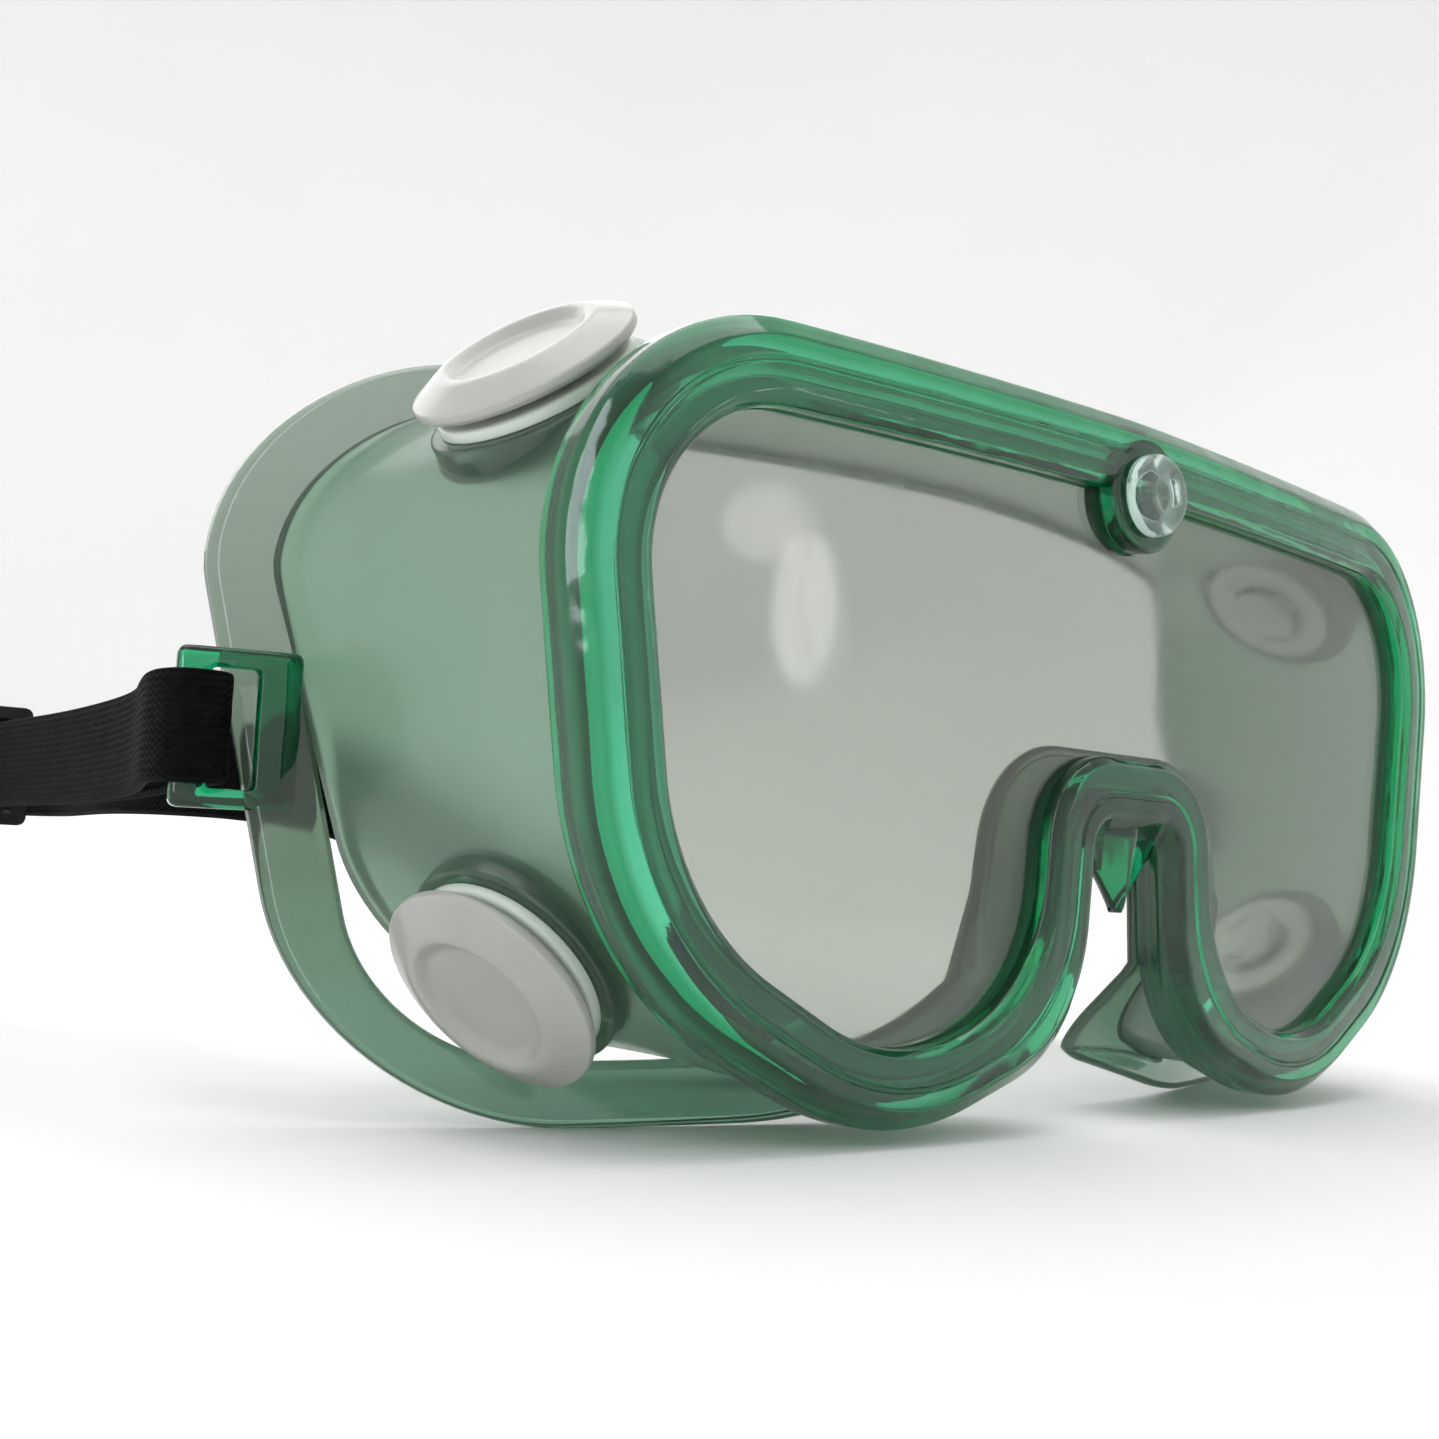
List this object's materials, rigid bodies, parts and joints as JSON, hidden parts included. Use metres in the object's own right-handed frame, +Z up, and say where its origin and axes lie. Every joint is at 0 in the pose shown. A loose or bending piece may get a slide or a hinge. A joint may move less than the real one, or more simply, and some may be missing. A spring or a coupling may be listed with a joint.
{
  "type": "safety goggles",
  "caption": "School safety goggles: soft translucent frame with face flange and nose arch, curved clear lens, capped side vents and an elastic head strap.",
  "frame": {"origin": "centre of the bounding box of everything but the strap and its slider, at its lowest point", "axes": "+X to the right seen from the front, +Y from the lens towards the wearer's face, +Z up"},
  "size_m": [0.194, 0.1705, 0.084],
  "materials": {
    "soft_frame": "translucent green soft PVC",
    "lens_pane": "clear, polished",
    "clear_stud": "clear, polished",
    "vent_plastic": "off-white, satin",
    "elastic": "ribbed woven elastic",
    "slider_plastic": "moulded black"
  },
  "bodies": {
    "frame": {"goggle_frame": "soft_frame", "lens": "lens_pane", "lens_stud": "clear_stud", "stud_collar": "clear_stud", "vent_base_upper_left": "vent_plastic", "vent_base_upper_right": "vent_plastic", "vent_base_lower_left": "vent_plastic", "vent_base_lower_right": "vent_plastic", "head_strap": "elastic"},
    "cap_upper_left": {"vent_cap_upper_left": "vent_plastic"},
    "cap_upper_right": {"vent_cap_upper_right": "vent_plastic"},
    "cap_lower_left": {"vent_cap_lower_left": "vent_plastic"},
    "cap_lower_right": {"vent_cap_lower_right": "vent_plastic"},
    "slider": {"strap_slider": "slider_plastic"}
  },
  "joints": [
    {"name": "cap_turn_upper_left", "type": "hinge", "parent": "frame", "child": "cap_upper_left", "pos_m": [-0.06955, -0.00352, 0.07299], "axis": [-0.6525, -0.1045, 0.7506], "continuous": true},
    {"name": "cap_turn_upper_right", "type": "hinge", "parent": "frame", "child": "cap_upper_right", "pos_m": [0.06955, -0.00352, 0.07299], "axis": [0.6525, -0.1045, 0.7506], "continuous": true},
    {"name": "cap_turn_lower_left", "type": "hinge", "parent": "frame", "child": "cap_lower_left", "pos_m": [-0.06861, -0.00295, 0.01647], "axis": [-0.7618, -0.1045, -0.6393], "continuous": true},
    {"name": "cap_turn_lower_right", "type": "hinge", "parent": "frame", "child": "cap_lower_right", "pos_m": [0.06861, -0.00295, 0.01647], "axis": [0.7618, -0.1045, -0.6393], "continuous": true},
    {"name": "slider_travel", "type": "slide", "parent": "frame", "child": "slider", "axis": [0.1205, 0.9927, 0], "range_m": [-0.03, 0.004]}
  ]
}
